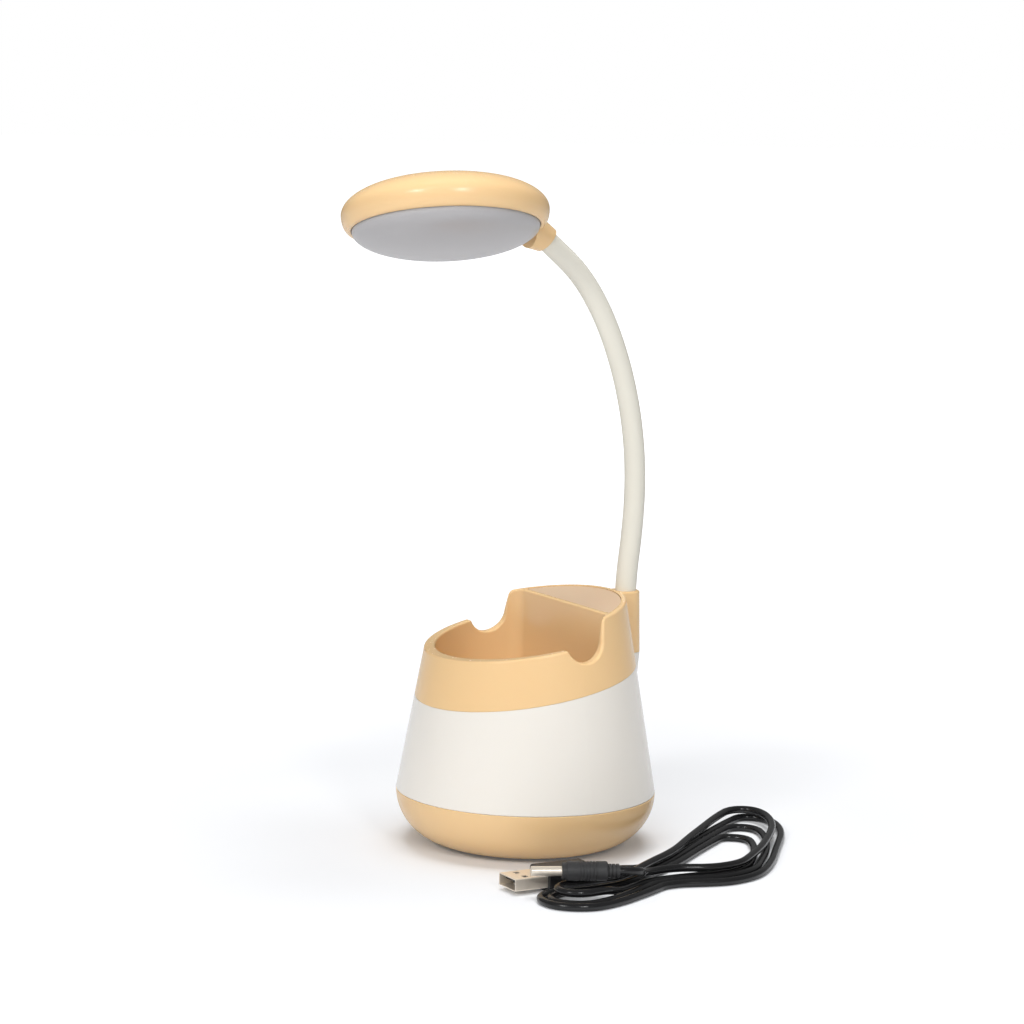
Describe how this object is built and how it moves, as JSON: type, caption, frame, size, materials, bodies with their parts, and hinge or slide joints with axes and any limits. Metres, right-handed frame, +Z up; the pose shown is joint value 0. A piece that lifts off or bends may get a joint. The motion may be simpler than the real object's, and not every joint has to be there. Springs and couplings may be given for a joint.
{
  "type": "desk lamp with pen holder",
  "caption": "Battery desk lamp: a round shade on a flexible neck above a rounded pot whose open front well holds pens and props a phone, with its charging cable.",
  "frame": {"origin": "centre of the foot pad's underside on the table", "axes": "+Z up, +Y to the rear where the neck stands, +X to the right seen from the rear with the well away from the viewer"},
  "size_m": [0.153, 0.1855, 0.2587],
  "materials": {
    "peach_plastic": "satin moulded",
    "peach_panel": "satin moulded",
    "white_plastic": "glossy moulded",
    "pad_rubber": "matte",
    "plain_steel": "plain",
    "copper_foil": "plain",
    "circuit_board": "solder mask",
    "chip_black": "matte",
    "plug_white": "matte",
    "cell_wrap": "shrink wrap",
    "inner_black": "matte",
    "pin_brass": "bright",
    "lead_red": "soft PVC",
    "soft_sleeve": "soft matte",
    "milky_lens": "opal satin",
    "plate_aluminium": "plain",
    "led_yellow": "phosphor",
    "plug_metal": "nickel plated",
    "cable_black": "satin PVC"
  },
  "bodies": {
    "pot": {"base_tray": "peach_plastic", "foot_pad": "pad_rubber", "counterweight": "plain_steel", "tray_screws": "plain_steel", "outer_shell": "white_plastic", "pen_cup": "peach_plastic", "top_panel": "peach_panel", "touch_foil": "copper_foil", "touch_board": "circuit_board", "main_board": "circuit_board", "board_chips": "chip_black", "board_plugs": "plug_white", "board_screws": "plain_steel", "battery_cell": "cell_wrap", "cell_holder": "inner_black", "charging_jack": "inner_black", "jack_pin": "pin_brass", "lamp_lead": "lead_red", "cell_lead_low": "lead_red", "cell_lead_top": "lead_red", "touch_lead": "lead_red", "jack_lead": "lead_red", "neck_base": "plain_steel", "neck_nut": "plain_steel", "neck_sleeve": "soft_sleeve", "neck_lead": "lead_red", "dc_barrel": "plug_metal", "dc_insulator": "cable_black", "dc_body": "cable_black", "dc_relief": "cable_black", "usb_metal": "plug_metal", "usb_tongue": "inner_black", "usb_contacts": "pin_brass", "usb_body": "cable_black", "usb_relief": "cable_black", "cable_hank": "cable_black", "cable_lead_dc": "cable_black", "cable_lead_usb": "cable_black"},
    "link_1": {"neck_link_1": "plain_steel"},
    "link_2": {"neck_link_2": "plain_steel"},
    "link_3": {"neck_link_3": "plain_steel"},
    "link_4": {"neck_link_4": "plain_steel"},
    "link_5": {"neck_link_5": "plain_steel"},
    "link_6": {"neck_link_6": "plain_steel"},
    "link_7": {"neck_link_7": "plain_steel"},
    "link_8": {"neck_link_8": "plain_steel"},
    "head": {"head_cover": "peach_plastic", "diffuser": "milky_lens", "led_plate": "plate_aluminium", "led_chips": "led_yellow", "reflector": "plug_white", "plate_screws": "plain_steel", "grub_screw": "plain_steel"}
  },
  "joints": [
    {"name": "neck_bend_1", "type": "hinge", "parent": "pot", "child": "link_1", "pos_m": [0, 0.0429, 0.1004], "axis": [1, 0, 0], "range_deg": [-12, 12], "deforming": ["neck_sleeve", "neck_lead"]},
    {"name": "neck_sway_1", "type": "hinge", "parent": "link_1", "child": "link_2", "pos_m": [0, 0.04508, 0.11817], "axis": [0, 0.9986, -0.0523], "range_deg": [-12, 12], "deforming": ["neck_sleeve", "neck_lead"]},
    {"name": "neck_bend_2", "type": "hinge", "parent": "link_2", "child": "link_3", "pos_m": [0, 0.04602, 0.13604], "axis": [1, 0, 0], "range_deg": [-12, 12], "deforming": ["neck_sleeve", "neck_lead"]},
    {"name": "neck_sway_2", "type": "hinge", "parent": "link_3", "child": "link_4", "pos_m": [0, 0.04486, 0.1539], "axis": [0, 0.9823, 0.1874], "range_deg": [-12, 12], "deforming": ["neck_sleeve", "neck_lead"]},
    {"name": "neck_bend_3", "type": "hinge", "parent": "link_4", "child": "link_5", "pos_m": [0, 0.04151, 0.17149], "axis": [1, 0, 0], "range_deg": [-12, 12], "deforming": ["neck_sleeve", "neck_lead"]},
    {"name": "neck_sway_3", "type": "hinge", "parent": "link_5", "child": "link_6", "pos_m": [0, 0.03613, 0.18856], "axis": [0, 0.9085, 0.4179], "range_deg": [-12, 12], "deforming": ["neck_sleeve", "neck_lead"]},
    {"name": "neck_bend_4", "type": "hinge", "parent": "link_6", "child": "link_7", "pos_m": [0, 0.02865, 0.20482], "axis": [1, 0, 0], "range_deg": [-12, 12], "deforming": ["neck_sleeve", "neck_lead"]},
    {"name": "neck_sway_4", "type": "hinge", "parent": "link_7", "child": "link_8", "pos_m": [0, 0.01848, 0.21956], "axis": [0, 0.6347, 0.7727], "range_deg": [-12, 12], "deforming": ["neck_sleeve", "neck_lead"]},
    {"name": "head_turn", "type": "hinge", "parent": "link_8", "child": "head", "pos_m": [0, 0.00465, 0.23092], "axis": [0, -0.7727, 0.6347], "range_deg": [-30, 30]}
  ],
  "couplings": [
    {"joint": "neck_bend_2", "follows": "neck_bend_1", "ratio": 1},
    {"joint": "neck_sway_2", "follows": "neck_sway_1", "ratio": 1},
    {"joint": "neck_bend_3", "follows": "neck_bend_1", "ratio": 1},
    {"joint": "neck_sway_3", "follows": "neck_sway_1", "ratio": 1},
    {"joint": "neck_bend_4", "follows": "neck_bend_1", "ratio": 1},
    {"joint": "neck_sway_4", "follows": "neck_sway_1", "ratio": 1}
  ]
}
